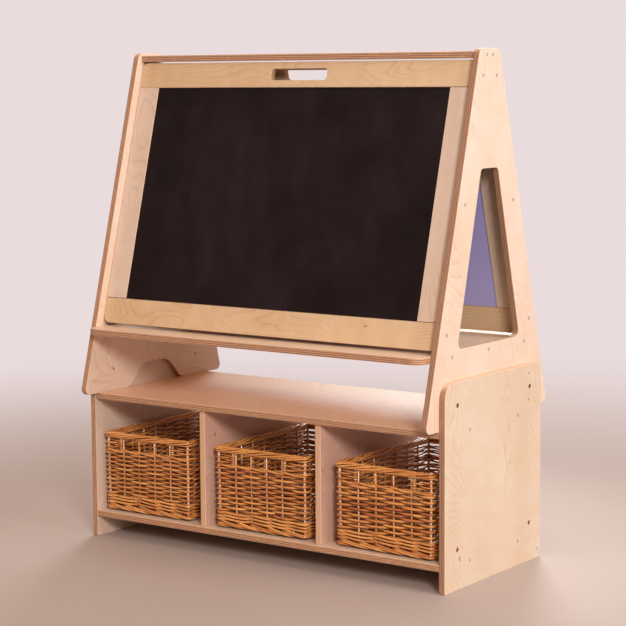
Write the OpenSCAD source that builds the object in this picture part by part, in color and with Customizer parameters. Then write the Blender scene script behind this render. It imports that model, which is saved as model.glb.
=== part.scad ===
// Double-sided play easel on a three-bay storage unit.
// All sizes in millimetres, +Z up, front is -Y, origin on the floor under the middle.

/* [Storage unit] */
// overall width over the two end panels
unit_w = 1000; // [800:5:1300]
// depth of the end panels, top board and bottom shelf
unit_d = 416; // [340:2:520]
// thickness of every plywood panel
ply = 15; // [12:1:18]
// height of the top face of the unit's top board
unit_top_z = 352; // [300:1:450]
// height of the top face of the bottom shelf
unit_floor_z = 64; // [50:1:100]
// height of the end panels
end_h = 455; // [400:1:560]
// corner radius at the top of the end panels
end_r = 36; // [5:1:60]
// distance of the dividers behind the front edge
divider_set = 8; // [0:1:30]

/* [Side frames] */
// total height of the easel
easel_h = 1160; // [1000:5:1400]
// half depth of a side frame at its very top
frame_top_half = 42; // [30:1:70]
// half depth of a side frame across its feet
frame_foot_half = 261; // [220:1:300]
// corner radius at the top of a side frame
frame_top_r = 20; // [5:1:35]
// corner radius at the outer bottom corners of the feet
frame_foot_r = 14; // [3:1:30]
// height of the top of the window in a side frame
window_top_z = 902; // [800:1:1000]
// height of the bottom of the window in a side frame
window_low_z = 520; // [510:1:600]
// half width of the window at its top
window_top_half = 35.5; // [20:0.5:60]
// half width of the window at its bottom
window_low_half = 133; // [80:1:160]
// height of the top of the arch between the feet
arch_z = 406; // [380:1:440]

/* [Boards] */
// height of the top edge of each board
board_top_z = 1136; // [1000:1:1300]
// length of each board measured down its slope
board_len = 636; // [500:1:800]
// depth of the board face behind the side frame edge
board_set = 22; // [5:1:40]
// width of the top and bottom rails
rail_w = 61; // [40:1:90]
// visible half width of the writing sheets
sheet_half = 410; // [300:1:440]
// thickness of the writing sheets
sheet_t = 9; // [4:1:12]
// half width of the handle slot in the top rails
slot_half = 78.5; // [50:0.5:120]
// height of the handle slot
slot_h = 27; // [20:1:35]

/* [Paint shelf and top bar] */
// height of the top face of the paint shelf
shelf_z = 513.5; // [450:0.5:600]
// half depth of the paint shelf, tray lips included
shelf_half = 256; // [220:1:300]
// corner radius of the tray lips
shelf_r = 30; // [5:1:60]
// height of the top face of the top bar
bar_z = 1154; // [1000:1:1300]
// half depth of the top bar
bar_half = 33; // [20:1:40]

/* [Baskets] */
// outer width of a basket over its rolled rim
basket_w = 266; // [200:1:280]
// outer depth of a basket over its rolled rim
basket_d = 372; // [300:1:400]
// height of a basket
basket_h = 193; // [120:1:250]
// position of the middle of the left basket
basket_left_x = -344; // [-360:1:-300]
// position of the middle of the middle basket
basket_middle_x = -6; // [-20:1:20]
// position of the middle of the right basket
basket_right_x = 337; // [300:1:340]
// how far the right basket stands turned in its bay, in degrees
basket_right_turn = -2; // [-4:0.5:4]
// width of the hand hole below the rim
hand_w = 128; // [80:1:160]
// height of the hand hole below the rim
hand_h = 24; // [15:1:35]

/* [Hidden] */
lean = (frame_foot_half - frame_top_half) / (easel_h - unit_top_z);
lean_a = atan(lean);
end_x = unit_w / 2;
frame_x = end_x - ply;
inner_x = frame_x - ply;
board_half = inner_x - 1;
board_top_y = frame_top_half - board_set + lean * (easel_h - board_top_z);
groove = 6;
bay_w = (2 * frame_x - 2 * ply) / 3;
divider_x = (bay_w + ply) / 2;
basket_z = unit_floor_z + 0.4;
basket_y = -8;
rim_h = 19;
basket_wall = 12;
basket_taper = 4;
rim_over = 4;
shank_d = 4;
screw_len = 34;
bolt_y = 156;
bolt_hi_z = 404;
bolt_lo_z = 89.5;
top_screw_z = unit_top_z - ply / 2;
low_screw_z = unit_floor_z - ply / 2;
end_screw_y = 104;
plinth_y = 194;
plinth_screw_z = 22;

// middle of a board's thickness at height z, as a distance from the middle plane
function board_mid(z) = frame_top_half - board_set + lean * (easel_h - z) - ply / 2 / cos(lean_a);

// screws in one side frame as [y, z]
frame_screws = [
  for (s = [-1, 1]) [12.7 * s, bar_z - ply / 2],
  for (s = [-1, 1]) for (z = [1102, 828, 555.5]) [s * board_mid(z), z],
  for (y = [-154, 0, 154]) [y, shelf_z - ply / 2]
];
// screws in one end panel as [y, z]
end_screws = [
  for (s = [-1, 1]) [s * end_screw_y, top_screw_z],
  for (s = [-1, 1]) [s * end_screw_y, low_screw_z],
  [plinth_y, plinth_screw_z]
];
frame_bolts = [for (s = [-1, 1]) [s * bolt_y, bolt_hi_z]];
spare_bolts = [for (s = [-1, 1]) [s * bolt_y, bolt_lo_z]];

// [part to draw]

birch = [0.93, 0.78, 0.62];
willow = [0.72, 0.45, 0.2];

// ---------- helpers ----------

function unit_v(a) = a / norm(a);
// polygon with a radius at each corner, given as [x, y, r]
function rounded(p, n = 8) = [
  for (i = [0 : len(p) - 1])
    let (
      c = [p[i][0], p[i][1]],
      a = p[(i + len(p) - 1) % len(p)],
      b = p[(i + 1) % len(p)],
      u = unit_v([a[0], a[1]] - c),
      w = unit_v([b[0], b[1]] - c),
      half = acos(u * w) / 2,
      m = c + unit_v(u + w) * p[i][2] / sin(half),
      s = c + u * p[i][2] / tan(half) - m,
      e = c + w * p[i][2] / tan(half) - m,
      a0 = atan2(s[1], s[0]),
      da = atan2(s[0] * e[1] - s[1] * e[0], s * e)
    )
    for (k = [0 : n]) m + p[i][2] * [cos(a0 + da * k / n), sin(a0 + da * k / n)]
];

// a flat outline drawn as (y, z) and extruded along X
module plate_x(x0, t) {
  translate([x0, 0, 0])
    rotate([90, 0, 90])
      linear_extrude(t) children();
}

// a round rod along X
module rod_x(x0, x1, y, z, d, n = 24) {
  translate([min(x0, x1), y, z])
    rotate([0, 90, 0])
      cylinder(h = abs(x1 - x0), d = d, $fn = n);
}

// a cone along X
module cone_x(x0, x1, y, z, d0, d1, n = 24) {
  translate([x0, y, z])
    rotate([0, x1 > x0 ? 90 : -90, 0])
      cylinder(h = abs(x1 - x0), d1 = d0, d2 = d1, $fn = n);
}

// countersunk wood screw entering at face x along direction s
module wood_screw(x, y, z, s) {
  difference() {
    union() {
      cone_x(x - s * 0.1, x - s * 2.6, y, z, 8, shank_d, 20);
      rod_x(x - s * 2.5, x - s * screw_len, y, z, shank_d, 20);
    }
    translate([x, y, z])
      cube([2.4, 4.6, 1.1], center = true);
    translate([x, y, z])
      cube([2.4, 1.1, 4.6], center = true);
  }
}

// hole that takes one wood screw
module screw_hole(x, y, z, s) {
  cone_x(x + s * 0.01, x - s * 2.8, y, z, 8.6, shank_d + 0.2, 20);
  rod_x(x - s * 2.5, x - s * (screw_len + 1), y, z, shank_d + 0.2, 20);
}

// ---------- side frames ----------

module side_frame_outline() {
  difference() {
    polygon(rounded([
      [-frame_top_half, easel_h, frame_top_r],
      [-frame_foot_half, unit_top_z, frame_foot_r],
      [-97, unit_top_z, 26],
      [-48.5, arch_z, 52],
      [48.5, arch_z, 52],
      [97, unit_top_z, 26],
      [frame_foot_half, unit_top_z, frame_foot_r],
      [frame_top_half, easel_h, frame_top_r]
    ]));
    polygon(rounded([
      [-window_top_half, window_top_z, 11],
      [-window_low_half, window_low_z, 15],
      [window_low_half, window_low_z, 15],
      [window_top_half, window_top_z, 11]
    ]));
  }
}

module side_frame(s) {
  color(birch)
    difference() {
      plate_x(s > 0 ? inner_x : -frame_x, ply) side_frame_outline();
      for (q = frame_screws)
        screw_hole(s * frame_x, q[0], q[1], s);
      for (q = frame_bolts) {
        rod_x(s * (frame_x + 1), s * (frame_x - 12.2), q[0], q[1], 10.2);
        rod_x(s * (frame_x - 12), s * (inner_x - 1), q[0], q[1], 5);
      }
    }
}

module left_side_frame() {
  side_frame(-1);
}

module right_side_frame() {
  side_frame(1);
}

module top_bar() {
  color(birch)
    difference() {
      translate([-inner_x, -bar_half, bar_z - ply])
        cube([2 * inner_x, 2 * bar_half, ply]);
      for (s = [-1, 1])
        for (q = [frame_screws[0], frame_screws[1]])
          screw_hole(s * frame_x, q[0], q[1], s);
    }
}

module paint_shelf() {
  color(birch)
    difference() {
      translate([0, 0, shelf_z - ply])
        linear_extrude(ply)
          polygon(rounded([
            [-inner_x, -shelf_half, shelf_r],
            [inner_x, -shelf_half, shelf_r],
            [inner_x, shelf_half, shelf_r],
            [-inner_x, shelf_half, shelf_r]
          ]));
      for (s = [-1, 1])
        for (q = [frame_screws[8], frame_screws[9], frame_screws[10]])
          screw_hole(s * frame_x, q[0], q[1], s);
    }
}

// ---------- boards ----------

// puts a flat outline, drawn as (x, distance up the slope), in the front or rear board plane
module on_board(rear, depth = 0, t = ply) {
  rotate([0, 0, rear ? 180 : 0])
    translate([0, -board_top_y, board_top_z])
      rotate([90 - lean_a, 0, 0])
        translate([0, 0, -depth - t])
          linear_extrude(t) children();
}

// screw holes of both side frames that reach a board
module board_screw_holes() {
  for (s = [-1, 1])
    for (i = [2 : 7])
      screw_hole(s * frame_x, frame_screws[i][0], frame_screws[i][1], s);
}

// dowels of one board, in board coordinates
module dowel_set(rear, d, l) {
  rotate([0, 0, rear ? 180 : 0])
    translate([0, -board_top_y, board_top_z])
      rotate([90 - lean_a, 0, 0])
        for (s = [-1, 1])
          for (x = [430, 452])
            for (v = [-rail_w, rail_w - board_len])
              translate([s * x, v, -ply / 2])
                rotate([90, 0, 0])
                  cylinder(h = l, d = d, center = true, $fn = 20);
}

module sheet_groove(rear) {
  on_board(rear, (ply - sheet_t) / 2 - 0.1, sheet_t + 0.2)
    translate([-sheet_half - groove, rail_w - board_len - groove])
      square([2 * (sheet_half + groove), board_len - 2 * rail_w + 2 * groove]);
}

module board_top_rail(rear) {
  color(birch)
    difference() {
      on_board(rear)
        difference() {
          polygon(rounded([
            [-board_half, 0, 14],
            [-board_half, -rail_w, 0.2],
            [board_half, -rail_w, 0.2],
            [board_half, 0, 14]
          ]));
          polygon(rounded([
            [-slot_half, -30 + slot_h / 2, 8],
            [-slot_half, -30 - slot_h / 2, 8],
            [slot_half, -30 - slot_h / 2, 8],
            [slot_half, -30 + slot_h / 2, 8]
          ]));
        }
      sheet_groove(rear);
      board_screw_holes();
      dowel_set(rear, 8.1, 32);
    }
}

module board_bottom_rail(rear) {
  color(birch)
    difference() {
      on_board(rear)
        polygon(rounded([
          [-board_half, rail_w - board_len, 0.2],
          [-board_half, -board_len, 18],
          [board_half, -board_len, 18],
          [board_half, rail_w - board_len, 0.2]
        ]));
      sheet_groove(rear);
      board_screw_holes();
      dowel_set(rear, 8.1, 32);
    }
}

// s is the side as seen in the object's own frame
module board_stile(rear, s) {
  k = rear ? -s : s;
  color(birch)
    difference() {
      on_board(rear)
        translate([k > 0 ? sheet_half : -board_half, rail_w - board_len])
          square([board_half - sheet_half, board_len - 2 * rail_w]);
      sheet_groove(rear);
      board_screw_holes();
      dowel_set(rear, 8.1, 32);
    }
}

module sheet(rear, c) {
  e = groove - 0.5;
  color(c)
    on_board(rear, (ply - sheet_t) / 2, sheet_t)
      translate([-sheet_half - e, rail_w - board_len - e])
        square([2 * (sheet_half + e), board_len - 2 * rail_w + 2 * e]);
}

module front_board_top_rail() {
  board_top_rail(false);
}

module front_board_bottom_rail() {
  board_bottom_rail(false);
}

module front_board_left_stile() {
  board_stile(false, -1);
}

module front_board_right_stile() {
  board_stile(false, 1);
}

module chalkboard() {
  sheet(false, [0.08, 0.07, 0.07]);
}

module rear_board_top_rail() {
  board_top_rail(true);
}

module rear_board_bottom_rail() {
  board_bottom_rail(true);
}

module rear_board_left_stile() {
  board_stile(true, -1);
}

module rear_board_right_stile() {
  board_stile(true, 1);
}

module whiteboard() {
  sheet(true, [0.95, 0.95, 0.96]);
}

module board_dowels() {
  color([0.85, 0.7, 0.5]) {
    dowel_set(false, 8, 30);
    dowel_set(true, 8, 30);
  }
}

// ---------- storage unit ----------

module end_panel(s) {
  color(birch)
    difference() {
      plate_x(s > 0 ? frame_x : -end_x, ply)
        polygon(rounded([
          [-unit_d / 2, end_h, end_r],
          [-unit_d / 2, 0, 3],
          [unit_d / 2, 0, 3],
          [unit_d / 2, end_h, end_r]
        ]));
      for (q = end_screws)
        screw_hole(s * end_x, q[0], q[1], s);
      for (q = frame_bolts) {
        rod_x(s * (end_x + 1), s * (end_x - 1.9), q[0], q[1], 10.4);
        rod_x(s * (end_x + 1), s * (frame_x - 1), q[0], q[1], 6.2);
      }
      for (q = spare_bolts) {
        rod_x(s * (end_x + 1), s * (end_x - 1.9), q[0], q[1], 10.4);
        rod_x(s * (end_x + 1), s * (end_x - 12.2), q[0], q[1], 6.2);
      }
      // blind peg holes above and below the rear upper bolt
      for (z = [bolt_hi_z - 30.5, bolt_hi_z + 30.5])
        rod_x(s * (end_x + 1), s * (end_x - 8), bolt_y - 4, z, 5);
    }
}

module left_end_panel() {
  end_panel(-1);
}

module right_end_panel() {
  end_panel(1);
}

// dowels between the dividers and the boards above and below them
module divider_dowel_set(d, l) {
  for (s = [-1, 1])
    for (y = [-130, 130])
      for (z = [unit_floor_z, unit_top_z - ply])
        translate([s * divider_x, y, z + (z > 200 ? -l / 2 + 9 : l / 2 - 9)])
          cylinder(h = l, d = d, center = true, $fn = 20);
}

module unit_board(z) {
  color(birch)
    difference() {
      translate([-frame_x, -unit_d / 2, z - ply])
        cube([2 * frame_x, unit_d, ply]);
      for (s = [-1, 1])
        for (q = end_screws)
          screw_hole(s * end_x, q[0], q[1], s);
      divider_dowel_set(8.1, 25);
    }
}

module unit_top() {
  unit_board(unit_top_z);
}

module unit_bottom() {
  unit_board(unit_floor_z);
}

module divider(s) {
  color(birch)
    difference() {
      translate([s * divider_x - ply / 2, divider_set - unit_d / 2, unit_floor_z])
        cube([ply, unit_d - 2 * divider_set, unit_top_z - ply - unit_floor_z]);
      divider_dowel_set(8.1, 25);
    }
}

module left_divider() {
  divider(-1);
}

module right_divider() {
  divider(1);
}

module plinth_rail() {
  color(birch)
    difference() {
      translate([-frame_x, plinth_y - ply / 2, 2])
        cube([2 * frame_x, ply, unit_floor_z - ply - 2]);
      for (s = [-1, 1])
        screw_hole(s * end_x, plinth_y, plinth_screw_z, s);
    }
}

module divider_dowels() {
  color([0.85, 0.7, 0.5]) divider_dowel_set(8, 24);
}

// ---------- fasteners ----------

module side_frame_screws() {
  color([0.8, 0.8, 0.82])
    for (s = [-1, 1])
      for (q = frame_screws)
        wood_screw(s * frame_x, q[0], q[1], s);
}

module end_panel_screws() {
  color([0.8, 0.8, 0.82])
    for (s = [-1, 1])
      for (q = end_screws)
        wood_screw(s * end_x, q[0], q[1], s);
}

// flat-headed bolt with a hexagon socket
module connector_bolt(s, y, z, l) {
  difference() {
    union() {
      rod_x(s * (end_x - 0.3), s * (end_x - 1.8), y, z, 10);
      rod_x(s * (end_x - 1.7), s * (end_x - l), y, z, 6, 20);
    }
    rod_x(s * (end_x + 0.2), s * (end_x - 1.4), y, z, 4, 6);
  }
}

module connector_bolts() {
  color([0.45, 0.3, 0.18])
    for (s = [-1, 1]) {
      for (q = frame_bolts)
        connector_bolt(s, q[0], q[1], 26);
      for (q = spare_bolts)
        connector_bolt(s, q[0], q[1], 12);
    }
}

module threaded_inserts() {
  color([0.8, 0.65, 0.3])
    for (s = [-1, 1])
      for (q = frame_bolts)
        difference() {
          rod_x(s * (frame_x - 0.1), s * (frame_x - 12.1), q[0], q[1], 10);
          rod_x(s * (frame_x + 1), s * (frame_x - 13), q[0], q[1], 6.2, 20);
        }
}

// ---------- baskets ----------

module basket_outline(w, d, r) {
  polygon(rounded([
    [-w / 2, -d / 2, r],
    [w / 2, -d / 2, r],
    [w / 2, d / 2, r],
    [-w / 2, d / 2, r]
  ], 5));
}

// closed block that widens upwards from w0 by d0 to w1 by d1
module tapered_block(w0, d0, w1, d1, h) {
  intersection() {
    rotate([90, 0, 0])
      linear_extrude(2 * d1, center = true)
        polygon([[-w0 / 2, 0], [w0 / 2, 0], [w1 / 2, h], [-w1 / 2, h]]);
    rotate([90, 0, 90])
      linear_extrude(2 * w1, center = true)
        polygon([[-d0 / 2, 0], [d0 / 2, 0], [d1 / 2, h], [-d1 / 2, h]]);
  }
}

// stands a basket part in its bay
module in_bay(x, turn) {
  translate([x, basket_y, basket_z])
    rotate([0, 0, turn]) children();
}

// four woven walls that widen upwards, with a hand hole under the rim at each end
module basket_sides(x, turn = 0) {
  h = basket_h - rim_h;
  w1 = basket_w - 2 * rim_over;
  d1 = basket_d - 2 * rim_over;
  w0 = w1 - basket_taper;
  d0 = d1 - basket_taper;
  t = 2 * basket_wall;
  ex = (w1 - w0) / h;
  ey = (d1 - d0) / h;
  color(willow)
    in_bay(x, turn)
      difference() {
        tapered_block(w0, d0, w1, d1, h);
        translate([0, 0, -1])
          tapered_block(w0 - t - ex, d0 - t - ey, w1 - t + ex, d1 - t + ey, h + 2);
        translate([-hand_w / 2, -basket_d, h - hand_h])
          cube([hand_w, 2 * basket_d, hand_h + 1]);
      }
}

module basket_base(x, turn = 0) {
  color(willow)
    in_bay(x, turn)
      translate([0, 0, 4])
        linear_extrude(9) basket_outline(basket_w - 38, basket_d - 38, 8);
}

// thick rolled border
module basket_rim(x, turn = 0) {
  color(willow)
    in_bay(x, turn)
      for (k = [[0, 5, 3], [5, 9, 0], [14, 5, 3]])
        translate([0, 0, basket_h - rim_h + k[0]])
          linear_extrude(k[1])
            difference() {
              basket_outline(basket_w - 2 * k[2], basket_d - 2 * k[2], 14 - k[2]);
              basket_outline(basket_w - 38 + 2 * k[2], basket_d - 38 + 2 * k[2], 6);
            }
}

module basket_left_sides() {
  basket_sides(basket_left_x);
}

module basket_left_base() {
  basket_base(basket_left_x);
}

module basket_left_rim() {
  basket_rim(basket_left_x);
}

module basket_middle_sides() {
  basket_sides(basket_middle_x);
}

module basket_middle_base() {
  basket_base(basket_middle_x);
}

module basket_middle_rim() {
  basket_rim(basket_middle_x);
}

module basket_right_sides() {
  basket_sides(basket_right_x, basket_right_turn);
}

module basket_right_base() {
  basket_base(basket_right_x, basket_right_turn);
}

module basket_right_rim() {
  basket_rim(basket_right_x, basket_right_turn);
}

// ---------- drawing ----------

left_side_frame();
right_side_frame();
top_bar();
paint_shelf();
front_board_top_rail();
front_board_bottom_rail();
front_board_left_stile();
front_board_right_stile();
chalkboard();
rear_board_top_rail();
rear_board_bottom_rail();
rear_board_left_stile();
rear_board_right_stile();
whiteboard();
board_dowels();
left_end_panel();
right_end_panel();
unit_top();
unit_bottom();
left_divider();
right_divider();
plinth_rail();
divider_dowels();
side_frame_screws();
end_panel_screws();
connector_bolts();
threaded_inserts();
basket_left_sides();
basket_left_base();
basket_left_rim();
basket_middle_sides();
basket_middle_base();
basket_middle_rim();
basket_right_sides();
basket_right_base();
basket_right_rim();
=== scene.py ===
"""Looks of a double-sided play easel on a three-bay unit with willow baskets.

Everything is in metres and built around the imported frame. The chalkboard faces -Y.
"""

import math

import bpy
import numpy as np
from mathutils import Matrix, Vector


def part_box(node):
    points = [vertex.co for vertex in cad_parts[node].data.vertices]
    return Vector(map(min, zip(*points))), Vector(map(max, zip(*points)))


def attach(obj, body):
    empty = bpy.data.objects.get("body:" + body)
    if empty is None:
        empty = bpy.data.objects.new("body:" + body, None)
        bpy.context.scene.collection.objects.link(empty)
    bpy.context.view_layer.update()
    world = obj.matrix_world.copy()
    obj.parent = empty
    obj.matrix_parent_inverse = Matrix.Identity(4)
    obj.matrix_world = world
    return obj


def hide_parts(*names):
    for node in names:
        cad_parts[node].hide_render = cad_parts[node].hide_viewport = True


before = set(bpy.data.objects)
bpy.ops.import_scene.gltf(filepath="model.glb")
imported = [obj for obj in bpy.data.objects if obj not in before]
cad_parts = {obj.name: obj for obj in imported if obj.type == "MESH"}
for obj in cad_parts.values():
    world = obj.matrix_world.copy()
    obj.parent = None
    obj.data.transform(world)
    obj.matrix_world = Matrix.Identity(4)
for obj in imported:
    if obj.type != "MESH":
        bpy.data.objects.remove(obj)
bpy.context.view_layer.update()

X, Y, Z = Vector((1, 0, 0)), Vector((0, 1, 0)), Vector((0, 0, 1))
BOARD_SLOPE = 0.271  # how far a board leans in for each metre of height
LEAN = math.atan(BOARD_SLOPE)
FRONT_UP = Vector((0, math.sin(LEAN), math.cos(LEAN)))
FRONT_OUT = Vector((0, -math.cos(LEAN), math.sin(LEAN)))
REAR_UP = Vector((0, -math.sin(LEAN), math.cos(LEAN)))
REAR_OUT = Vector((0, math.cos(LEAN), math.sin(LEAN)))


def srgb(r, g, b):
    """Linear RGBA from display values of 0 to 255."""
    values = [c / 255 for c in (r, g, b)]
    return [c / 12.92 if c <= 0.04045 else ((c + 0.055) / 1.055) ** 2.4 for c in values] + [1]


# ---------- camera ----------

CAMERA_AT = (2.64666, -3.6849, 1.10541)
YAW, PITCH, ROLL = 0.62094, 0.12096, -0.00697  # left of +Y, downward, and about the view axis
SENSOR, LENS = 36, 112.6643  # millimetres


def add_camera():
    data = bpy.data.cameras.new("camera")
    data.sensor_width, data.lens = SENSOR, LENS
    data.clip_start, data.clip_end = 0.1, 1000
    cam = bpy.data.objects.new("camera", data)
    bpy.context.scene.collection.objects.link(cam)
    ahead = Vector((-math.sin(YAW) * math.cos(PITCH), math.cos(YAW) * math.cos(PITCH), -math.sin(PITCH)))
    level = Vector((math.cos(YAW), math.sin(YAW), 0))
    upright = level.cross(ahead)
    right = level * math.cos(ROLL) + upright * math.sin(ROLL)
    up = upright * math.cos(ROLL) - level * math.sin(ROLL)
    turn = Matrix((right, up, -ahead)).transposed()
    cam.matrix_world = Matrix.Translation(CAMERA_AT) @ turn.to_4x4()
    bpy.context.scene.camera = cam


# ---------- node graphs ----------


class Graph:
    """The node tree of a new material or world, written as expressions.

    Inputs are numbers, tuples or sockets.
    """

    def __init__(self, name, kind="materials"):
        self.owner = getattr(bpy.data, kind).new(name)
        self.owner.use_nodes = True
        self.tree = self.owner.node_tree
        self.tree.nodes.clear()

    def node(self, kind, inputs=(), **props):
        made = self.tree.nodes.new("ShaderNode" + kind)
        for key, value in props.items():
            setattr(made, key, value)
        for key, value in dict(inputs).items():
            socket = made.inputs[key]
            if isinstance(value, bpy.types.NodeSocket):
                self.tree.links.new(value, socket)
            else:
                socket.default_value = value
        return made

    def math(self, operation, *values):
        return self.node("Math", enumerate(values), operation=operation).outputs[0]

    def add(self, a, b):
        return self.math("ADD", a, b)

    def mul(self, a, b):
        return self.math("MULTIPLY", a, b)

    def mad(self, a, b, c):
        """a times b, plus c."""
        return self.math("MULTIPLY_ADD", a, b, c)

    def fit(self, value, low, high, to_low=0.0, to_high=1.0, smooth=True):
        """Carries low to to_low and high to to_high, and holds the ends."""
        made = self.node(
            "MapRange",
            {"Value": value, "From Min": low, "From Max": high, "To Min": to_low, "To Max": to_high},
            interpolation_type="SMOOTHSTEP" if smooth else "LINEAR",
        )
        return made.outputs[0]

    def vector(self, x, y=0.0, z=0.0):
        return self.node("CombineXYZ", {0: x, 1: y, 2: z}).outputs[0]

    def length(self, vector):
        return self.node("VectorMath", {0: vector}, operation="LENGTH").outputs["Value"]

    def dot(self, a, axis):
        return self.node("VectorMath", {0: a, 1: tuple(axis)}, operation="DOT_PRODUCT").outputs["Value"]

    def noise(self, vector, scale=1.0, detail=2.0, rough=0.5, distort=0.0):
        made = self.node(
            "TexNoise",
            {"Vector": vector, "Scale": scale, "Detail": detail, "Roughness": rough, "Distortion": distort},
        )
        return made.outputs[0]

    def grain(self, u, v, per_u, per_v, layer, detail, rough=0.5, distort=0.0):
        """Noise stretched by its own scale along u and along v. layer picks one such field."""
        stretched = self.vector(self.mul(u, per_u), self.mul(v, per_v), layer)
        return self.noise(stretched, 1.0, detail, rough, distort)

    def mix(self, factor, a, b):
        return self.node("Mix", {0: factor, 6: a, 7: b}, data_type="RGBA").outputs[2]

    def shader(self, **inputs):
        """Principled shader and output. Underscores in names stand for spaces."""
        named = {key.replace("_", " "): value for key, value in inputs.items()}
        made = self.node("BsdfPrincipled", named)
        self.node("OutputMaterial", {"Surface": made.outputs[0]})
        return self.owner

    def bump(self, height, strength, distance):
        inputs = {"Height": height, "Strength": strength, "Distance": distance}
        return self.node("Bump", inputs).outputs[0]


# ---------- birch plywood ----------

# Each wood is (pale face, deeper face, growth line).
BIRCH = [srgb(232, 209, 189), srgb(224, 192, 163), srgb(198, 142, 106)]
FRAME = [srgb(232, 212, 199), srgb(224, 195, 171), srgb(206, 158, 126)]
SANDY = [srgb(221, 204, 186), srgb(214, 187, 161), srgb(198, 154, 122)]
STILE = [srgb(222, 201, 187), srgb(213, 184, 161), srgb(198, 150, 116)]
GOLDEN = [srgb(223, 193, 160), srgb(207, 171, 133), srgb(182, 138, 92)]
PINK = [srgb(220, 182, 165), srgb(208, 166, 146), srgb(178, 122, 96)]
# WARM: warmer, paler wood, partly a painted warm light for the shaded unit top
WARM = [srgb(250, 212, 182), srgb(240, 196, 162), srgb(210, 150, 112)]
KNOT = srgb(150, 84, 48)
SANDED_HIGHLIGHT = srgb(248, 224, 198)
PLY_LONG, PLY_END = srgb(212, 164, 128), srgb(146, 100, 76)
PLY_SPECK, PLY_RUN = srgb(116, 76, 56), srgb(230, 188, 146)
PLY_PALE, PLY_SHADED = srgb(238, 196, 162), srgb(124, 88, 72)
PLY_TOP_LIGHT = srgb(250, 214, 180)
PLIES = 7
RING_GAP = 0.0125  # between growth lines, where they run straight
KNOT_SQUEEZE = 0.62  # of lengths along the grain, which draws the rings round a knot out
KNOT_RISE = 1.9  # height of a knot's hill in the field of growth lines, over its reach


def span(node, axis):
    """Lowest and highest place of a CAD node's points along an axis."""
    places = [v.co.dot(axis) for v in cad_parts[node].data.vertices]
    return min(places), max(places)


def growth_lines(g, along, aside, u, v, seed, knots):
    """Level lines of a slow field, as on a rotary-cut face, and the dark specks of its knots."""
    slow = g.grain(u, v, 2.3, 5.2, seed, 0.6, 0.5, 0.5)
    wave = g.grain(u, v, 9.0, 20.0, seed + 5, 1.5)
    jitter = g.grain(u, v, 60.0, 130.0, seed, 1.0)
    field = g.mad(slow, 0.36, g.mad(wave, 0.034, g.mad(jitter, 0.0022, v)))
    specks = 0.0
    for place_u, place_v, reach in knots:
        far = g.length(g.vector(g.mul(g.add(along, -place_u), KNOT_SQUEEZE), g.add(aside, -place_v)))
        hill = g.math("EXPONENT", g.mul(g.math("POWER", g.mul(far, 1 / reach), 1.4), -1.0))
        field = g.mad(hill, KNOT_RISE * reach, field)
        specks = g.math("MAXIMUM", specks, g.fit(far, 0.0025 + 0.03 * reach, 0.0015))
    phase = g.math("FRACT", g.mul(field, 1 / RING_GAP))
    line = g.mad(g.math("POWER", phase, 9.0), 0.75, g.mul(g.math("POWER", phase, 2.0), 0.25))
    shown = g.fit(g.grain(u, v, 3.1, 6.0, seed + 9, 1.0), 0.34, 0.62, 0.3, 1.0)
    return g.mul(line, shown), specks


def ply_edge(g, u, v, depth, thickness, upward, tint):
    """Colour and height of an edge: thin plies, turn about long grain and end grain."""
    wander = g.grain(u, v, 30.0, 30.0, g.mul(depth, 60.0), 2.0)
    layer = g.mad(wander, 0.06, g.mul(depth, PLIES / thickness))
    stripe = g.fit(g.math("PINGPONG", layer, 1.0), 0.2, 0.8)
    speck = g.grain(u, v, 420.0, 420.0, g.mul(depth, 1500.0), 2.0, 0.65)
    run = g.grain(u, v, 60.0, 60.0, g.mul(depth, 500.0), 3.0)
    colour = g.mix(stripe, PLY_LONG, PLY_END)
    colour = g.mix(g.fit(speck, 0.42, 0.72, 0.0, 0.45), colour, PLY_SPECK)
    colour = g.mix(g.fit(run, 0.45, 0.75, 0.0, 0.3), colour, PLY_RUN)
    if tint:
        share, tone = tint
        colour = g.mix(share, colour, tone)
    # painted light: edges that face upwards turn paler, as if lit from above
    colour = g.mix(g.fit(upward, 0.5, 1.0, 0.0, 0.6), colour, PLY_TOP_LIGHT)
    return colour, g.add(speck, stripe)


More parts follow.
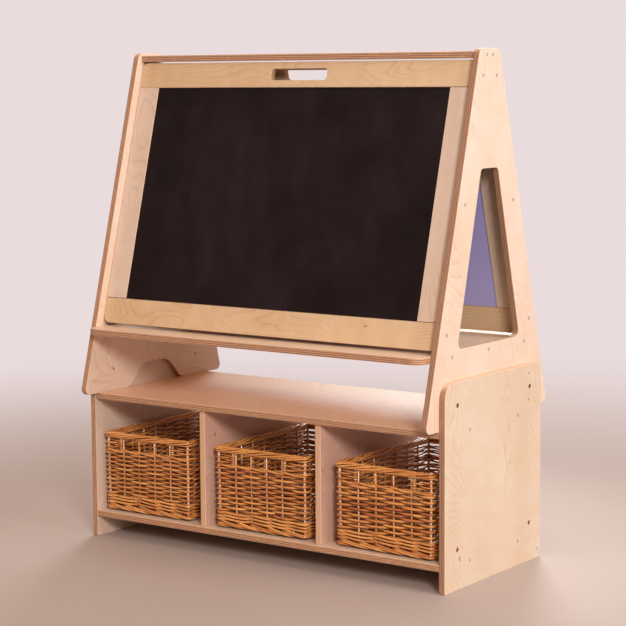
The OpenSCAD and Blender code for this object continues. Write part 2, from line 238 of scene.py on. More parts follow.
def birch(node, grain, facing, seed, tones, tint, knots):
    """Lacquered birch plywood: veneer figure on both faces, stacked plies on every edge.

    tint is how much of which tone lies over the edges, or None. A knot is its place along
    the grain, its place across it, and its reach.
    """
    g = Graph("birch_" + node)
    pale, deep, dark = tones
    low, high = span(node, facing)
    place = g.node("TexCoord").outputs
    along, aside = g.dot(place["Object"], grain), g.dot(place["Object"], facing.cross(grain))
    u, v = g.add(along, seed * 3.17), g.add(aside, seed * 1.73)
    depth = g.add(g.dot(place["Object"], facing), -low)
    turn = g.math("ABSOLUTE", g.dot(place["Normal"], facing))  # 1 on a face, 0 on an edge

    # the face: growth lines over a broad tone, fibres and short dark pores
    line, specks = growth_lines(g, along, aside, u, v, seed, knots)
    cloud = g.grain(u, v, 2.2, 6.5, seed + 2, 2.0)
    flame = g.grain(u, v, 34.0, 14.0, seed + 3, 2.0)
    fibre = g.grain(u, v, 26.0, 700.0, seed, 3.0, 0.6)
    pores = g.fit(g.grain(u, v, 190.0, 1500.0, seed + 4, 1.0), 0.66, 0.8)
    tone = g.mad(cloud, 0.6, g.mad(flame, 0.35, g.mul(fibre, 0.28)))
    face = g.mix(g.fit(tone, 0.38, 0.88), pale, deep)
    face = g.mix(g.mul(line, 0.62), face, dark)
    face = g.mix(g.mul(pores, 0.16), face, dark)
    if knots:
        face = g.mix(g.mul(specks, 0.7), face, KNOT)

    upward = g.dot(place["Normal"], Z)
    edge, edge_height = ply_edge(g, u, v, depth, high - low, upward, tint)
    flat = g.fit(turn, 0.55, 0.95)
    colour = g.mix(flat, edge, face)
    # sanded arrises, and a painted highlight: the narrow turn between face and edge is drawn paler, as
    # where light catches a rounded edge
    arris = g.mul(g.fit(turn, 0.08, 0.4), g.fit(turn, 0.985, 0.8))
    colour = g.mix(g.mul(arris, 0.5), colour, SANDED_HIGHLIGHT)
    rough = g.mad(g.math("SUBTRACT", 1.0, flat), 0.22, g.mad(fibre, 0.12, 0.34))
    height = g.mix(flat, edge_height, g.mad(fibre, 0.6, g.mul(line, -0.35)))
    return g.shader(
        Base_Color=colour, Roughness=rough, Normal=g.bump(height, 0.14, 0.0004),
        Coat_Weight=0.2, Coat_Roughness=0.25, Specular_IOR_Level=0.4,
    )


# ---------- other materials ----------


def chalk_black():
    """Painted chalkboard with faint dust left by wiping, mostly up and down."""
    g = Graph("chalkboard_black")
    place = g.node("TexCoord").outputs["Object"]
    u, v = g.dot(place, FRONT_UP), g.dot(place, X)
    bent = g.mad(g.grain(u, v, 2.2, 1.9, 1.0, 1.0), 0.26, v)
    wipes = g.fit(g.grain(u, bent, 3.2, 15.0, 3.0, 3.0, 0.6), 0.4, 0.7)
    hairs = g.grain(u, bent, 4.5, 190.0, 5.0, 2.0)
    cloudy = g.fit(g.grain(u, v, 4.2, 3.6, 7.0, 4.0, 0.62), 0.32, 0.68)
    grit = g.noise(place, 900.0, 2.0)
    strokes = g.mul(g.mad(wipes, 0.35, g.mul(hairs, 0.2)), g.mad(cloudy, 0.7, 0.3))
    dust = g.mad(cloudy, 0.5, strokes)
    return g.shader(
        Base_Color=g.mix(g.mul(dust, 0.06), srgb(20, 8, 11), srgb(140, 124, 128)),
        Roughness=g.mad(dust, 0.1, 0.66), Normal=g.bump(grit, 0.10, 0.0003), Specular_IOR_Level=0.16,
    )


def white_laminate():
    """Glossy white writing sheet with very faint wipe marks; its inside face is painted blue-grey shade."""
    g = Graph("whiteboard_white")
    place = g.node("TexCoord").outputs
    smear = g.noise(place["Object"], 7.0, 4.0, 0.6, 0.8)
    front = g.mix(g.fit(smear, 0.35, 0.75), srgb(250, 250, 252), srgb(248, 248, 251))
    # painted shade: the inside face is drawn blue-grey, as the white sheet looks in the shadow inside the
    # easel
    back = g.mix(g.fit(smear, 0.35, 0.75), srgb(174, 168, 227), srgb(163, 158, 218))
    outside = g.fit(g.dot(place["Normal"], REAR_OUT), -0.3, 0.3)
    return g.shader(
        Base_Color=g.mix(outside, back, front), Roughness=g.fit(smear, 0.3, 0.8, 0.2, 0.26),
        Normal=g.bump(g.noise(place["Object"], 160.0, 2.0), 0.03, 0.0003),
        Coat_Weight=0.5, Coat_Roughness=0.1,
    )


def metal(name, bright, dull, rough, worn=0.5):
    """Turned metal with duller patches, worn much or little."""
    g = Graph(name)
    place = g.node("TexCoord").outputs["Object"]
    x, y, z = (g.dot(place, axis) for axis in (X, Y, Z))
    patches = g.noise(place, 420.0, 3.0, 0.6)
    turned = g.grain(x, y, 300.0, 2600.0, g.mul(z, 2600.0), 2.0)
    colour = g.mix(g.mul(g.fit(patches, 0.35, 0.7), worn), bright, dull)
    return g.shader(
        Base_Color=colour, Metallic=1.0, Roughness=g.mad(patches, 0.2, rough),
        Normal=g.bump(turned, 0.08, 0.0002),
    )


def beech():
    g = Graph("dowel_beech")
    place = g.node("TexCoord").outputs["Object"]
    x, y, z = (g.dot(place, axis) for axis in (X, Y, Z))
    fibre = g.grain(x, y, 1200.0, 1200.0, g.mul(z, 60.0), 3.0)
    colour = g.mix(g.fit(fibre, 0.35, 0.7), srgb(222, 184, 142), srgb(190, 142, 100))
    return g.shader(Base_Color=colour, Roughness=0.5, Normal=g.bump(fibre, 0.15, 0.0003))


POST_TONE = 1.14  # tones over 1 are paler than any weaving rod: pale stripped wood, and a painted pink-white highlight on the posts


def willow():
    """Boiled buff willow. Each rod carries its own tone and its length from one end."""
    g = Graph("willow")
    tone = g.node("Attribute", attribute_name="rod_tone").outputs["Fac"]
    along = g.node("Attribute", attribute_name="rod_along").outputs["Fac"]
    place = g.node("TexCoord").outputs["Object"]
    peeled_and_glint = g.fit(tone, 1.0, 1.2, smooth=False)
    streak = g.grain(along, tone, 40.0, 90.0, 0.0, 3.0, 0.6)
    bark = g.noise(place, 240.0, 3.0, 0.6)
    ribs = g.grain(along, tone, 420.0, 300.0, g.mul(g.dot(place, Z), 500.0), 2.0)
    buds = g.fit(g.grain(along, tone, 38.0, 700.0, 4.0, 0.0), 0.80, 0.84)
    colour = g.mix(g.fit(tone, 0.0, 1.0, smooth=False), srgb(184, 97, 41), srgb(243, 171, 92))
    colour = g.mix(g.fit(streak, 0.42, 0.72, 0.0, 0.5), colour, srgb(146, 68, 22))
    colour = g.mix(g.fit(bark, 0.5, 0.8, 0.0, 0.35), colour, srgb(246, 188, 116))
    colour = g.mix(g.mul(buds, 0.6), colour, srgb(70, 34, 16))
    # pale stripped wood, and a painted highlight: tones over 1 turn pink-white
    colour = g.mix(peeled_and_glint, colour, srgb(255, 206, 176))
    # painted shade: the colour darkens to a deep brown where ambient occlusion finds rods pressed close,
    # less so on stakes and posts
    open_air = g.node("AmbientOcclusion", {"Distance": 0.013}, samples=6).outputs["AO"]
    unshaded = g.math("MAXIMUM", g.fit(open_air, 0.16, 0.84), g.fit(tone, 0.9, 1.15, 0.0, 0.8))
    colour = g.mix(unshaded, srgb(60, 18, 9), colour)
    return g.shader(
        Base_Color=colour, Roughness=g.mad(bark, 0.22, 0.26),
        Normal=g.bump(g.mad(ribs, 0.6, g.mul(bark, 0.5)), 0.2, 0.0005),
        Coat_Weight=1.0, Coat_Roughness=0.13, Specular_IOR_Level=0.5,
    )


# ---------- carried-over CAD nodes ----------

ARRIS = 0.0011  # width of a sanded edge

# grain and facing of each board
PANELS = {
    "left_side_frame": (Z, X), "right_side_frame": (Z, X),
    "left_end_panel": (Z, X), "right_end_panel": (Z, X),
    "left_divider": (Z, X), "right_divider": (Z, X),
    "top_bar": (X, Z), "paint_shelf": (X, Z), "unit_top": (X, Z), "unit_bottom": (X, Z),
    "plinth_rail": (X, Y),
    "front_board_top_rail": (X, FRONT_OUT), "front_board_bottom_rail": (X, FRONT_OUT),
    "front_board_left_stile": (FRONT_UP, FRONT_OUT), "front_board_right_stile": (FRONT_UP, FRONT_OUT),
    "rear_board_top_rail": (X, REAR_OUT), "rear_board_bottom_rail": (X, REAR_OUT),
    "rear_board_left_stile": (REAR_UP, REAR_OUT), "rear_board_right_stile": (REAR_UP, REAR_OUT),
}
KNOTS = {
    "right_end_panel": [(0.068, 0.147, 0.10)],
    "left_end_panel": [(0.235, 0.168, 0.06)],
    "left_side_frame": [(0.404, 0.157, 0.06)],
    "left_divider": [(0.276, 0.161, 0.06)],
    "front_board_bottom_rail": [(0.281, 0.495, 0.03)],
}
# the wood of each board, by the end of its name; the others are BIRCH. The unit top's WARM tone is partly
# painted warm bounce light
WOODS = (
    ("_rail", GOLDEN), ("_divider", PINK), ("_stile", STILE), ("_side_frame", FRAME),
    ("unit_top", WARM), ("right_end_panel", SANDY), ("left_end_panel", STILE),
)
# painted shade: the right side frame's and right end panel's edges are drawn darker; the dividers' edges
# are paler
EDGES = (
    ("_divider", (0.55, PLY_PALE)),
    ("right_side_frame", (0.4, PLY_SHADED)), ("right_end_panel", (0.4, PLY_SHADED)),
)


def by_ending(node, table, otherwise):
    return next((value for ending, value in table if node.endswith(ending)), otherwise)


def dress(node, material, bevel=0.0):
    """Gives a CAD node its material and, where it is wood, softly sanded arrises."""
    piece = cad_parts[node]
    piece.data.materials.clear()
    piece.data.materials.append(material)
    if not bevel:
        return
    piece.data.polygons.foreach_set("use_smooth", [True] * len(piece.data.polygons))
    weld = piece.modifiers.new("weld", "WELD")
    weld.merge_threshold = 0.00002
    flat = piece.modifiers.new("flat", "DECIMATE")
    flat.decimate_type, flat.angle_limit = "DISSOLVE", math.radians(0.6)
    arris = piece.modifiers.new("arris", "BEVEL")
    arris.width, arris.segments = bevel, 2
    arris.limit_method, arris.angle_limit = "ANGLE", math.radians(55)
    arris.use_clamp_overlap = False
    arris.loop_slide = False
    normals = piece.modifiers.new("normals", "WEIGHTED_NORMAL")
    normals.keep_sharp = True


def dress_frame():
    for number, (node, (grain, facing)) in enumerate(PANELS.items(), 1):
        tones, tint = by_ending(node, WOODS, BIRCH), by_ending(node, EDGES, None)
        dress(node, birch(node, grain, facing, float(number), tones, tint, KNOTS.get(node, ())), ARRIS)
    dress("chalkboard", chalk_black())
    dress("whiteboard", white_laminate())
    pegs = beech()
    dress("board_dowels", pegs)
    dress("divider_dowels", pegs)
    steel = metal("screw_steel", srgb(236, 238, 244), srgb(184, 186, 194), 0.42, 0.35)
    dress("side_frame_screws", steel)
    dress("end_panel_screws", steel)
    dress("connector_bolts", metal("bolt_bronze", srgb(196, 136, 104), srgb(120, 78, 56), 0.36))
    dress("threaded_inserts", metal("insert_brass", srgb(210, 170, 96), srgb(150, 110, 60), 0.28))


# ---------- rods ----------

STEP = 0.0055  # between the points of a rod
BEND = 0.007  # each side of a corner, where the points lie closer
POSTS = (0, 5, 13, 18)  # which of the uprights stand in the corners
SIDE_STAKES = 7  # between two corner posts on a long side


class Rods:
    """Collects round rods as tubes and turns them into one mesh."""

    def __init__(self, seed):
        self.rng = np.random.default_rng(seed)
        self.points, self.faces, self.tones, self.alongs, self.count = [], [], [], [], 0

    def tube(self, path, radius, tone, ref=(0.0, 0.0, 1.0), sides=8, flat=1.0):
        """A closed-ended tube along path, an array of points. flat squeezes it across ref."""
        path = np.asarray(path, float)
        n = len(path)
        radius = np.broadcast_to(radius, (n,))
        ahead = np.gradient(path, axis=0)
        ahead /= np.linalg.norm(ahead, axis=1)[:, None]
        side = np.cross(ahead, np.asarray(ref, float))
        side /= np.linalg.norm(side, axis=1)[:, None]
        top = np.cross(side, ahead)
        turn = np.arange(sides) * 2 * np.pi / sides
        across = flat * np.cos(turn)[None, :, None] * side[:, None, :]
        ring = across + np.sin(turn)[None, :, None] * top[:, None, :]
        self.points.append((path[:, None, :] + ring * radius[:, None, None]).reshape(-1, 3))
        i = np.arange(n - 1)[:, None] * sides
        j = np.arange(sides)[None, :]
        k = (j + 1) % sides
        quads = np.stack([i + j, i + k, i + k + sides, i + j + sides], -1).reshape(-1, 4) + self.count
        self.faces.extend(quads.tolist())
        self.faces.append([self.count + a for a in reversed(range(sides))])
        self.faces.append([self.count + (n - 1) * sides + a for a in range(sides)])
        length = np.concatenate([[0], np.cumsum(np.linalg.norm(np.diff(path, axis=0), axis=1))])
        self.alongs.append(np.repeat(length + self.rng.uniform(0, 5), sides))
        self.tones.append(np.full(n * sides, tone))
        self.count += n * sides

    def wobble(self, s, size, wave):
        """A smooth random shift along a rod, about size high and wave metres long."""
        out = np.zeros_like(s)
        for _ in range(3):
            out += np.sin(s * 2 * np.pi / (wave * self.rng.uniform(0.7, 1.6)) + self.rng.uniform(0, 6.28))
        return out * size / 1.8

    def tone(self, middle=0.5, spread=0.24):
        """A rod's place between the darkest willow, 0, and the palest, 1."""
        return float(np.clip(self.rng.normal(middle, spread), 0, 1))

    def piece(self, name, material, centre, turn):
        """One object of all the rods, turned about the basket's centre and set in its bay."""
        flat = np.concatenate(self.points)
        x = flat[:, 0] * math.cos(turn) - flat[:, 1] * math.sin(turn) + centre[0]
        y = flat[:, 0] * math.sin(turn) + flat[:, 1] * math.cos(turn) + centre[1]
        mesh = bpy.data.meshes.new(name)
        mesh.from_pydata(np.column_stack([x, y, flat[:, 2]]).tolist(), [], self.faces)
        for key, parts in (("rod_tone", self.tones), ("rod_along", self.alongs)):
            layer = mesh.attributes.new(key, "FLOAT", "POINT")
            layer.data.foreach_set("value", np.concatenate(parts).astype(np.float32))
        mesh.polygons.foreach_set("use_smooth", [len(f) == 4 for f in self.faces])
        mesh.materials.append(material)
        mesh.update()
        made = bpy.data.objects.new(name, mesh)
        bpy.context.scene.collection.objects.link(made)
        return made


class Ring:
    """The middle line of a basket's wall at one height: a rectangle with round corners, about the origin.

    gap lies between the stakes of the front and of the rear, and shift moves them aside.
    """

    def __init__(self, half_x, half_y, corner, gap=0.048, shift=0.0):
        self.a, self.b, self.r = half_x - corner, half_y - corner, corner
        self.arc = math.pi * corner / 2
        self.length = 4 * (self.a + self.b) + 4 * self.arc
        self.gap, self.shift = gap, shift

    def at(self, s):
        """Points, outward directions and room inward at lengths s, from the front left corner on."""
        s = np.asarray(s, float) % self.length
        out, facing, room = np.zeros((len(s), 2)), np.zeros((len(s), 2)), np.full(len(s), self.r)
        start = 0.0
        corners = [(1, -1), (1, 1), (-1, 1), (-1, -1)]
        for side in range(4):
            run = 2 * (self.a if side % 2 == 0 else self.b)
            angle = math.radians(-90 + 90 * side)
            n = np.array([math.cos(angle), math.sin(angle)])
            t = np.array([-n[1], n[0]])
            far = np.array([corners[side][0] * self.a, corners[side][1] * self.b])
            on = (s >= start) & (s < start + run)
            step = (s[on] - start - run)[:, None]
            out[on] = far + n * self.r + t * step
            facing[on] = n
            room[on] += np.minimum(s[on] - start, start + run - s[on])
            start += run
            on = (s >= start) & (s < start + self.arc)
            a = angle + (s[on] - start) / self.r
            n2 = np.stack([np.cos(a), np.sin(a)], -1)
            out[on], facing[on] = far + n2 * self.r, n2
            start += self.arc
        return out, facing, room

    def steps(self, first, last):
        """Lengths from first to last, a few millimetres apart and closer at the corners."""
        posts = self.stakes()[list(POSTS)]
        laps = self.length * np.arange(-1, 3)
        bends = (posts[:, None, None] + laps[:, None] + np.linspace(-BEND, BEND, 9)).ravel()
        bends = bends[(bends > first) & (bends < last)]
        even = np.linspace(first, last, max(8, int((last - first) / STEP)))
        return np.unique(np.concatenate([even, bends]))

    def stakes(self):
        """Lengths of the corner posts and stakes, from the front left post on."""
        found = []
        start = 0.0
        for side in range(4):
            run = 2 * (self.a if side % 2 == 0 else self.b)
            found.append(start - self.arc / 2)
            if side % 2 == 0:
                gaps = (np.arange(4) - 1.5) * self.gap + self.shift + run / 2
            else:
                gaps = np.linspace(-self.arc / 2, run + self.arc / 2, SIDE_STAKES + 2)[1:-1]
            found.extend((start + gaps).tolist())
            start += run + self.arc
        return np.array(found)

    def count(self, s):
        """How many stakes lie before lengths s, with fractions between two stakes."""
        stakes = self.stakes()
        marks = np.append(stakes, stakes[0] + self.length)
        laps, rest = np.divmod(s - stakes[0], self.length)
        return np.interp(rest + stakes[0], marks, np.arange(len(marks))) + laps * len(stakes)

    def place(self, s, z, shift=0.0):
        """Points at lengths s and heights z, moved outward by shift, cutting the corner on the inside."""
        flat, facing, room = self.at(s)
        spot = flat + facing * np.maximum(shift, 0.0006 - room)[:, None]
        return np.column_stack([spot, np.broadcast_to(z, (len(s),))])


# ---------- willow baskets ----------

# the wall, from its middle line
WALL = 0.0050  # to its outside
TAPER = 0.002  # how far each wall leans out from its foot to its top
CORNER = 0.0025  # radius of its corners

# rods of the weave
WEAVE_LOW, WEAVE_HIGH = 0.0440, 0.1408
ROD_FLAT = 0.85  # a weaving rod's depth over its height
REACH = 0.0043  # how far its middle swings out and in of the stakes
SHORTEST = 0.38  # the shortest rod; the longest is twice that
OVERLAP = 0.018  # how far a rod runs on beside the next
TIP, TUCK = 0.016, 0.004  # length of a rod's end that turns inside, and how far it turns

# twisted bands
WALE_ROD = 0.0026
WALE_START = 0.07  # from the start of one strand to the start of the next
WALES_LOW = (0.0215, 0.0290, 0.0365)

# the hand holes, in the front and in the rear
HOLE_WALE = 0.1474
HOLE_LOW, HOLE_HIGH, HOLE_ROWS = 0.1556, 0.1712, 4
HOLE_ROD, HOLE_REACH = 0.0021, 0.0040
HOLE_SIDES = ((1, -1), (4, 1), (14, -1), (17, 1))  # stakes beside a hole, and which way is away from it
HOLE_ASIDE = 0.0075  # from such a stake to the short one beside it
COIL, COIL_ROD = 0.0042, 0.0019  # rods that turn round the short stakes

# uprights
POST_ROD, STAKE_ROD, SHORT_ROD = 0.0030, 0.0020, 0.0022
UPRIGHT_LOW, UPRIGHT_OVER = 0.006, 0.008  # foot of an upright, and how far it runs into the border

# the foot: pairs of rods, one pair to each gap between stakes
FOOT_UP, FOOT_ROD = 0.012, 0.0026
FOOT_BEFORE, FOOT_BEYOND = 0.008, 0.034  # where a rod starts before its gap, and ends after it
FOOT_TOP, FOOT_APART, FOOT_DROP = 0.0190, 0.0050, 0.0082  # its height, the pair's spacing, its fall

# the rolled border
BORDER = 0.0084  # from its middle line to its outside
BORDER_CORNER = 0.003
BORDER_STRANDS, BORDER_TWISTS = 6, 6
BORDER_SHORTEST = 0.15
BORDER_OUT = 0.0053  # from its middle line to a strand's
CORE_ROD = 0.0032

# the bottom
STICKS, STICK_ROD, STICK_INSET = 8, 0.0034, 0.012
BASE_PITCH, BASE_ROD, BASE_SWING = 0.0066, 0.0029, 0.0042
BASE_OVER = 0.003  # how far its rods run into the walls


class Basket:
    """One willow basket, woven about its own centre. All baskets are the size of the left one.

    gap and shift place its front stakes, and turn is how far it is turned in its bay.
    """

    def __init__(self, body, seed, material, rows, gap, shift, turn):
        self.body, self.seed, self.material, self.turn = body, seed, material, turn
        self.rows, self.gap, self.shift = rows, gap, shift
        low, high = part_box(body + "_rim")
        self.centre = ((low.x + high.x) / 2, (low.y + high.y) / 2)
        self.top = high.z
        low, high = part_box("basket_left_rim")
        self.rim_half = ((high.x - low.x) / 2, (high.y - low.y) / 2)
        low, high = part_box("basket_left_sides")
        self.half = ((high.x - low.x) / 2, (high.y - low.y) / 2)
        self.floor, self.height = low.z, high.z - low.z
        low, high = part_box("basket_left_base")
        self.base_half = ((high.x - low.x) / 2, (high.y - low.y) / 2)
        self.base_z = (low.z + high.z) / 2

    def ring(self, up):
        """The wall's middle line at a height above the basket's foot."""
        shrink = TAPER * (1 - up / self.height) + WALL
        return Ring(self.half[0] - shrink, self.half[1] - shrink, CORNER, self.gap, self.shift)

    def finish(self, rods, name, part):
        piece = rods.piece(self.body + name, self.material, self.centre, self.turn)
        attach(piece, self.body)
        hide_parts(self.body + part)

    def lay(self, rods, ring, first, last, shortest=SHORTEST):
        """Splits a run of weaving into rods. Gives the steps of each and how far it tucks inside, 0 to 1.

        A remainder too short for a rod of its own goes to the one before it.
        """
        start = first
        while start < last - 0.02:
            end = min(last, start + shortest * rods.rng.uniform(1, 2))
            if last - end < 0.3 * shortest:
                end = last
            s = ring.steps(start, end + (OVERLAP if end < last else 0.0))
            tip = np.minimum(s - s[0], s[-1] - s)
            yield s, np.clip(1 - tip / TIP, 0, 1)
            start = end

    def row(self, rods, up, first, last, flip, radius, reach, wave=0.0007):
        """One row of weaving from length first to last. flip is 1 where it starts on the other side."""
        ring = self.ring(up)
        for s, tuck in self.lay(rods, ring, first, last):
            swing = np.sin(np.pi / 2 * np.cos((ring.count(s) + flip) * np.pi))
            shift = swing * reach - TUCK * tuck + rods.wobble(s, 0.0003, 0.11)
            taper = rods.rng.uniform(0.90, 1.14) * (1 - 0.14 * (s - s[0]) / (s[-1] - s[0]))
            thick = radius * taper * (1 + rods.wobble(s, 0.05, 0.09))
            height = self.floor + up + rods.wobble(s, wave, 0.16)
            rods.tube(ring.place(s, height, shift), thick, rods.tone(), flat=ROD_FLAT)

    def wale(self, rods, up, strands, rise, out):
        """Twisted band: its strands take turns outside and inside the stakes."""
        ring = self.ring(up)
        for strand in range(strands):
            first = WALE_START * strand
            for s, tuck in self.lay(rods, ring, first, first + ring.length + 0.012):
                turn = 2 * np.pi * (ring.count(s) + strand) / strands
                height = self.floor + up + rise * np.cos(turn) + rods.wobble(s, 0.0004, 0.2)
                thick = WALE_ROD * (1 + rods.wobble(s, 0.06, 0.15))
                shift = out * np.sin(turn) + 0.0010 - TUCK * tuck
                rods.tube(ring.place(s, height, shift), thick, rods.tone(0.72, 0.2))

    def upright(self, rods, index, low, radius, aside=0.0):
        """A stake or corner post from height low into the border, moved aside along the wall."""
        post = index in POSTS
        up = np.linspace(low, self.height + UPRIGHT_OVER, 12)
        spots = [self.ring(h).stakes()[index] + aside for h in up]
        inset = -0.0012 if post else 0.0
        path = np.array([self.ring(h).place([s], self.floor + h, inset)[0] for h, s in zip(up, spots)])
        path[:, 0] += rods.wobble(up, 0.0005, 0.1)
        thick = radius * rods.rng.uniform(0.95, 1.08)
        rods.tube(path, thick, POST_TONE if post else 0.22 + rods.tone(0.8, 0.12), ref=(0.6, 0.8, 0.0))

    def foot(self, rods):
        """Pairs of rods that slope down past a stake and turn in under the next pair."""
        ring = self.ring(FOOT_UP)
        stakes = ring.stakes()
        for first, last in zip(stakes, np.append(stakes[1:], stakes[0] + ring.length)):
            for lower in range(2):
                s = np.linspace(first - FOOT_BEFORE, last + FOOT_BEYOND, 30)
                k = (s - first) / (last - first)
                drop = np.clip(k, -0.2, 1.5)
                height = self.floor + FOOT_TOP - FOOT_APART * lower - (FOOT_DROP - 0.0012 * lower) * drop
                shift = -0.007 + 0.0125 * np.sin(np.pi * np.clip((k + 0.2) / 1.95, 0, 1)) ** 0.5
                path = ring.place(s, height + rods.wobble(s, 0.0003, 0.1), shift)
                rods.tube(path, FOOT_ROD * (1 - 0.10 * k), rods.tone(0.6, 0.22))

    def weave(self):
        """The walls: uprights, rows of weaving, hand holes, twisted bands and foot."""
        rods = Rods(self.seed)
        for index in range(len(self.ring(0).stakes())):
            self.upright(rods, index, UPRIGHT_LOW, POST_ROD if index in POSTS else STAKE_ROD)
        pitch = (WEAVE_HIGH - WEAVE_LOW) / (self.rows - 1)
        for number in range(self.rows):
            up = WEAVE_LOW + number * pitch
            start = rods.rng.uniform(0, 1)
            self.row(rods, up, start, start + self.ring(up).length, number % 2, 0.49 * pitch, REACH)
        self.hole_sides(rods)
        self.wale(rods, HOLE_WALE, 2, 0.0019, 0.0042)
        for up in WALES_LOW:
            self.wale(rods, up, 3, 0.0016, 0.0043)
        self.foot(rods)
        self.finish(rods, "_weave", "_sides")

    def hole_sides(self, rods):
        """Beside the hand holes: thin rows, and short stakes that they turn round."""
        heights = np.linspace(HOLE_LOW, HOLE_HIGH, HOLE_ROWS)
        for number, up in enumerate(heights):
            ring = self.ring(up)
            stakes = ring.stakes()
            for first, last in ((stakes[4], stakes[14]), (stakes[17], stakes[1] + ring.length)):
                self.row(rods, up, first + 0.006, last - 0.006, number % 2, HOLE_ROD, HOLE_REACH, 0.0003)
        for index, away in HOLE_SIDES:
            self.upright(rods, index, HOLE_WALE, SHORT_ROD, HOLE_ASIDE * away)
            for up in heights:
                ring = self.ring(up)
                a = np.linspace(0, 2 * np.pi, 14)
                s = ring.stakes()[index] + HOLE_ASIDE * away + COIL * np.cos(a)
                height = self.floor + up + 0.0012 * a / (2 * np.pi)
                rods.tube(ring.place(s, height, COIL * np.sin(a)), COIL_ROD, rods.tone(0.5, 0.3), sides=6)

    def border(self):
        """Rolled border: strands of short rods that wind slowly round a dark core, with gaps between."""
        rods = Rods(self.seed + 50)
        ring = Ring(self.rim_half[0] - BORDER, self.rim_half[1] - BORDER, BORDER_CORNER)
        middle = self.top - BORDER
        for strand in range(BORDER_STRANDS):
            first = rods.rng.uniform(0, 0.4)
            for s, tuck in self.lay(rods, ring, first, first + ring.length + 0.02, BORDER_SHORTEST):
                drift = 0.3 * (s - s[0]) / (s[-1] - s[0])
                sway = 0.28 * np.sin(s * 16) + rods.rng.uniform(-0.22, 0.22) + drift
                turn = 2 * np.pi * (BORDER_TWISTS * s / ring.length + strand / BORDER_STRANDS) + sway
                away = BORDER_OUT * (1 - 0.5 * tuck)
                thick = rods.rng.uniform(0.0022, 0.0028) * (1 + rods.wobble(s, 0.07, 0.12))
                path = ring.place(s, middle + away * np.sin(turn), away * np.cos(turn))
                rods.tube(path, thick, rods.tone(0.74, 0.2))
        s = ring.steps(0, ring.length + 0.006)
        rods.tube(ring.place(s, middle), CORE_ROD, 0.0)
        self.finish(rods, "_border", "_rim")

    def bottom(self):
        """Stiff sticks from front to back, with rods woven across them."""
        rods = Rods(self.seed + 90)
        x_end, y_end = self.base_half
        sticks = np.linspace(-x_end + STICK_INSET, x_end - STICK_INSET, STICKS)
        y = np.linspace(-y_end - BASE_OVER, y_end + BASE_OVER, 18)
        for stick in sticks:
            path = np.column_stack([stick + rods.wobble(y, 0.0006, 0.2), y, np.full(len(y), self.base_z)])
            rods.tube(path, STICK_ROD, rods.tone(0.6, 0.15))
        x = np.linspace(-x_end - BASE_OVER, x_end + BASE_OVER, 46)
        where = (x - sticks[0]) / (sticks[1] - sticks[0])
        for number, y in enumerate(np.arange(-y_end + 0.002, y_end - 0.001, BASE_PITCH)):
            z = self.base_z + BASE_SWING * np.cos((where + number) * np.pi)
            path = np.column_stack([x, y + rods.wobble(x, 0.0004, 0.1), z])
            rods.tube(path, BASE_ROD * rods.rng.uniform(0.92, 1.08), rods.tone(0.5, 0.25), sides=6)
        self.finish(rods, "_bottom", "_base")


# no two are woven alike: rows, gap between front stakes, their shift, and turn in the bay
BASKETS = {
    "basket_left": (19, 0.0480, -0.002, 0.0),
    "basket_middle": (17, 0.0440, -0.006, 0.0),
    "basket_right": (16, 0.0475, 0.001, math.radians(-2)),
}


def add_baskets():
    material = willow()
    for number, (body, made) in enumerate(BASKETS.items()):
        basket = Basket(body, 11 + 7 * number, material, *made)
        basket.weave()
        basket.border()
        basket.bottom()


# ---------- stage ----------

WALL_TONE = srgb(234, 220, 221)
FLOOR_TONE = srgb(172, 149, 140)
FLOOR_REACH, FLOOR_CORNERS = 400.0, 96
FILL = 0.42  # light that the walls and the far floor shed, over the light they show
OVERHEAD = 0.74  # light shed from straight above

# name, place, target, size, watts, colour
LAMPS = (
    ("side", (3.0, -0.2, 2.6), (0.2, 0, 0.6), 1.7, 60, (0.98, 0.99, 0.975)),
    ("back", (-2.6, 5.2, 3.4), (0, 0, 0.6), 2.4, 155, (1.0, 0.99, 0.975)),
    ("window", (6.2, -5.8, 3.9), (0.2, -0.1, 0.4), 2.0, 500, (1.0, 0.965, 0.92)),
)


def add_lamp(name, place, target, size, energy, colour):
    data = bpy.data.lights.new(name, "AREA")
    data.shape = "DISK"
    data.size, data.energy, data.color = size, energy, colour
    lamp = bpy.data.objects.new(name, data)
    bpy.context.scene.collection.objects.link(lamp)
    lamp.location = place
    lamp.rotation_euler = (Vector(target) - Vector(place)).to_track_quat("-Z", "Y").to_euler()


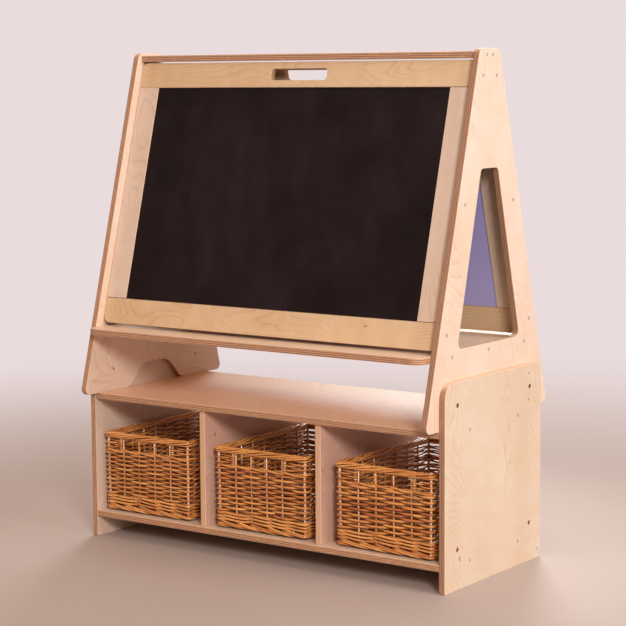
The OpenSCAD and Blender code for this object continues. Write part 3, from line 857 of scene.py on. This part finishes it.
def add_floor():
    """A pale floor that turns into the walls' tone a few metres away."""
    floor = bpy.data.meshes.new("floor")
    turns = np.arange(FLOOR_CORNERS) * 2 * math.pi / FLOOR_CORNERS
    ring = [(FLOOR_REACH * math.cos(a), FLOOR_REACH * math.sin(a), 0) for a in turns]
    floor.from_pydata(ring, [], [list(range(FLOOR_CORNERS))])
    made = bpy.data.objects.new("floor", floor)
    bpy.context.scene.collection.objects.link(made)
    g = Graph("floor")
    place = g.node("TexCoord").outputs["Object"]
    away = g.length(place)
    cloud = g.noise(place, 1.2, 3.0)
    tone = g.mix(g.fit(cloud, 0.3, 0.7, 0.0, 0.5), srgb(180, 166, 162), srgb(174, 160, 156))
    seen = g.node("LightPath").outputs["Is Camera Ray"]
    board = g.node("BsdfPrincipled", {"Base Color": tone, "Roughness": 0.6}).outputs[0]
    even = g.node("Emission", {"Color": FLOOR_TONE}).outputs[0]
    share = g.mul(seen, g.fit(away, 0.6, 1.3, 0.0, 0.4))
    near = g.node("MixShader", {0: share, 1: board, 2: even}).outputs[0]
    far = g.node("Emission", {"Color": WALL_TONE, "Strength": g.mad(seen, 1 - FILL, FILL)}).outputs[0]
    both = g.node("MixShader", {0: g.fit(away, 0.9, 3.4), 1: near, 2: far}).outputs[0]
    g.node("OutputMaterial", {"Surface": both})
    floor.materials.append(g.owner)


def add_walls():
    """Pale walls all round. They shed a dimmer, warmer light, so gaps and undersides stay dark."""
    g = Graph("studio", "worlds")
    seen = g.node("LightPath").outputs["Is Camera Ray"]
    tone = g.mix(seen, srgb(255, 222, 194), WALL_TONE)
    height = g.dot(g.node("TexCoord").outputs["Generated"], Z)
    shed = g.fit(height, 0.1, 0.8, FILL, OVERHEAD)
    strength = g.mad(seen, g.math("SUBTRACT", 1.0, shed), shed)
    sky = g.node("Background", {"Color": tone, "Strength": strength})
    g.node("OutputWorld", {"Surface": sky.outputs[0]})
    bpy.context.scene.world = g.owner


def add_stage():
    add_floor()
    add_walls()
    for lamp in LAMPS:
        add_lamp(*lamp)
    bpy.context.scene.view_settings.view_transform = "Standard"


add_camera()
dress_frame()
add_baskets()
add_stage()
